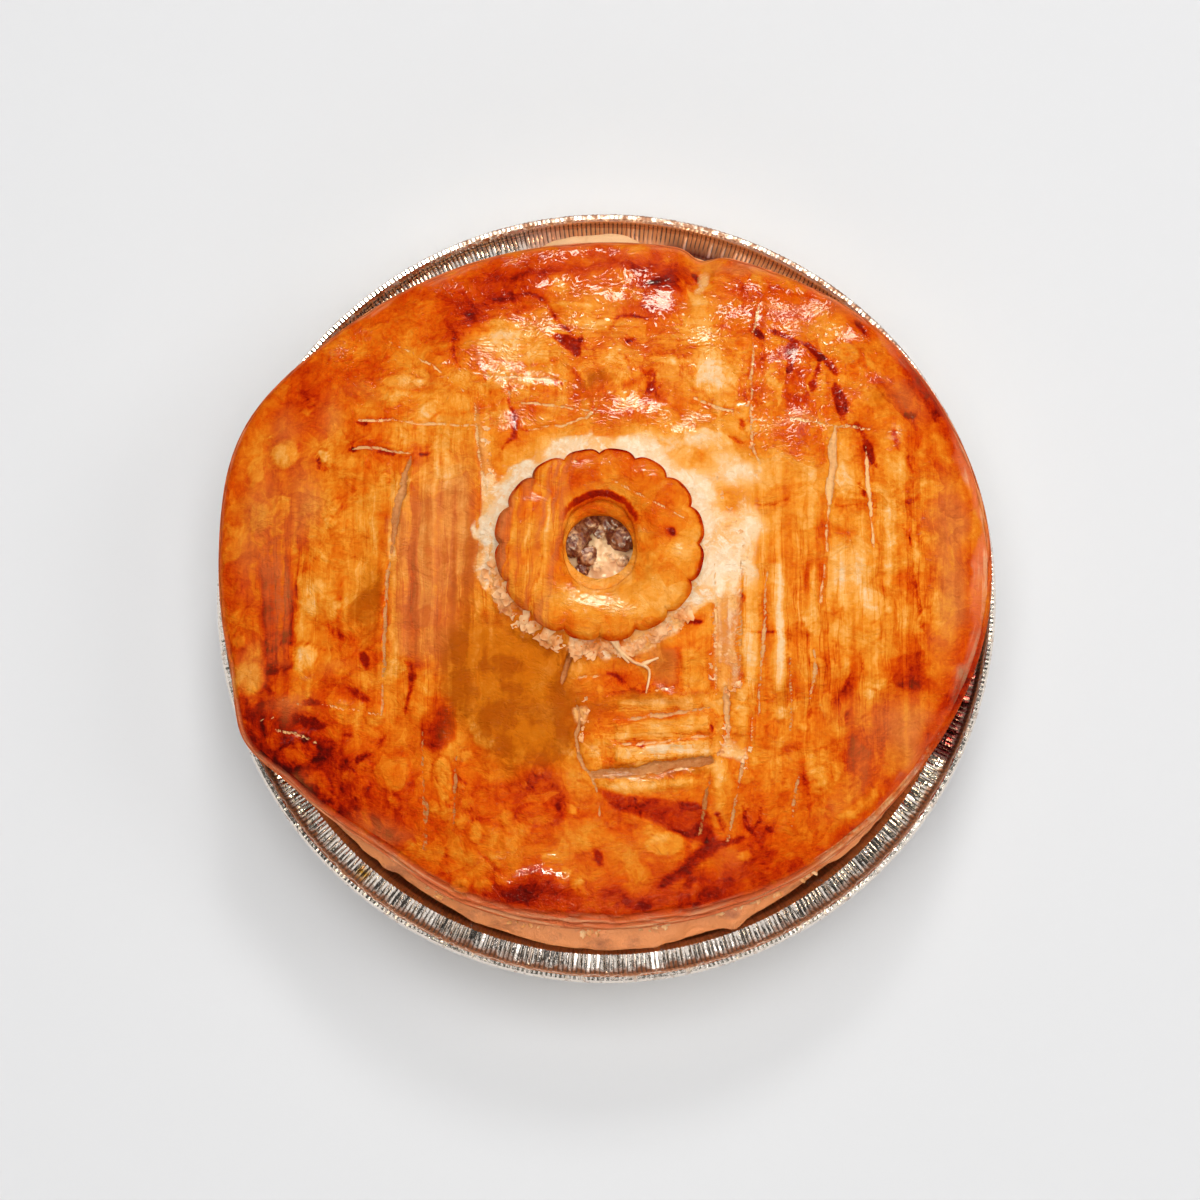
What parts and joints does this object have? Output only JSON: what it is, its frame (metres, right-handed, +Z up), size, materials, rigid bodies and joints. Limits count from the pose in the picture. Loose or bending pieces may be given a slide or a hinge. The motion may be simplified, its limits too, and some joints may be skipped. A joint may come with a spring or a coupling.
{
  "type": "duck pie",
  "caption": "Round double-crust pie in a pleated foil tin, with a domed, scored puff-pastry lid and a fluted pastry ring round its steam vent.",
  "frame": {"origin": "middle of the tin's flat underside, on the surface it stands on", "axes": "+Z up; +X to the pie's right and -Y to its front, the side where the base crust shows below the lid"},
  "size_m": [0.2198, 0.2198, 0.0741],
  "materials": {
    "foil": "thin bright pleated foil, stained brown by the pie along its rim",
    "crust": "baked golden-brown pastry, matte, stands in for food",
    "filling": "moist brown mince with pale creamy fat, stands in for food",
    "lid_pastry": "egg-washed puff pastry, golden orange to red-brown, glossy in patches, stands in for food",
    "ring_pastry": "egg-washed pastry, golden with red-brown edges, glossy, stands in for food"
  },
  "bodies": {
    "root": {"foil_tin": "foil", "base_crust": "crust", "filling": "filling", "lid": "lid_pastry", "vent_ring": "ring_pastry"}
  },
  "joints": []
}
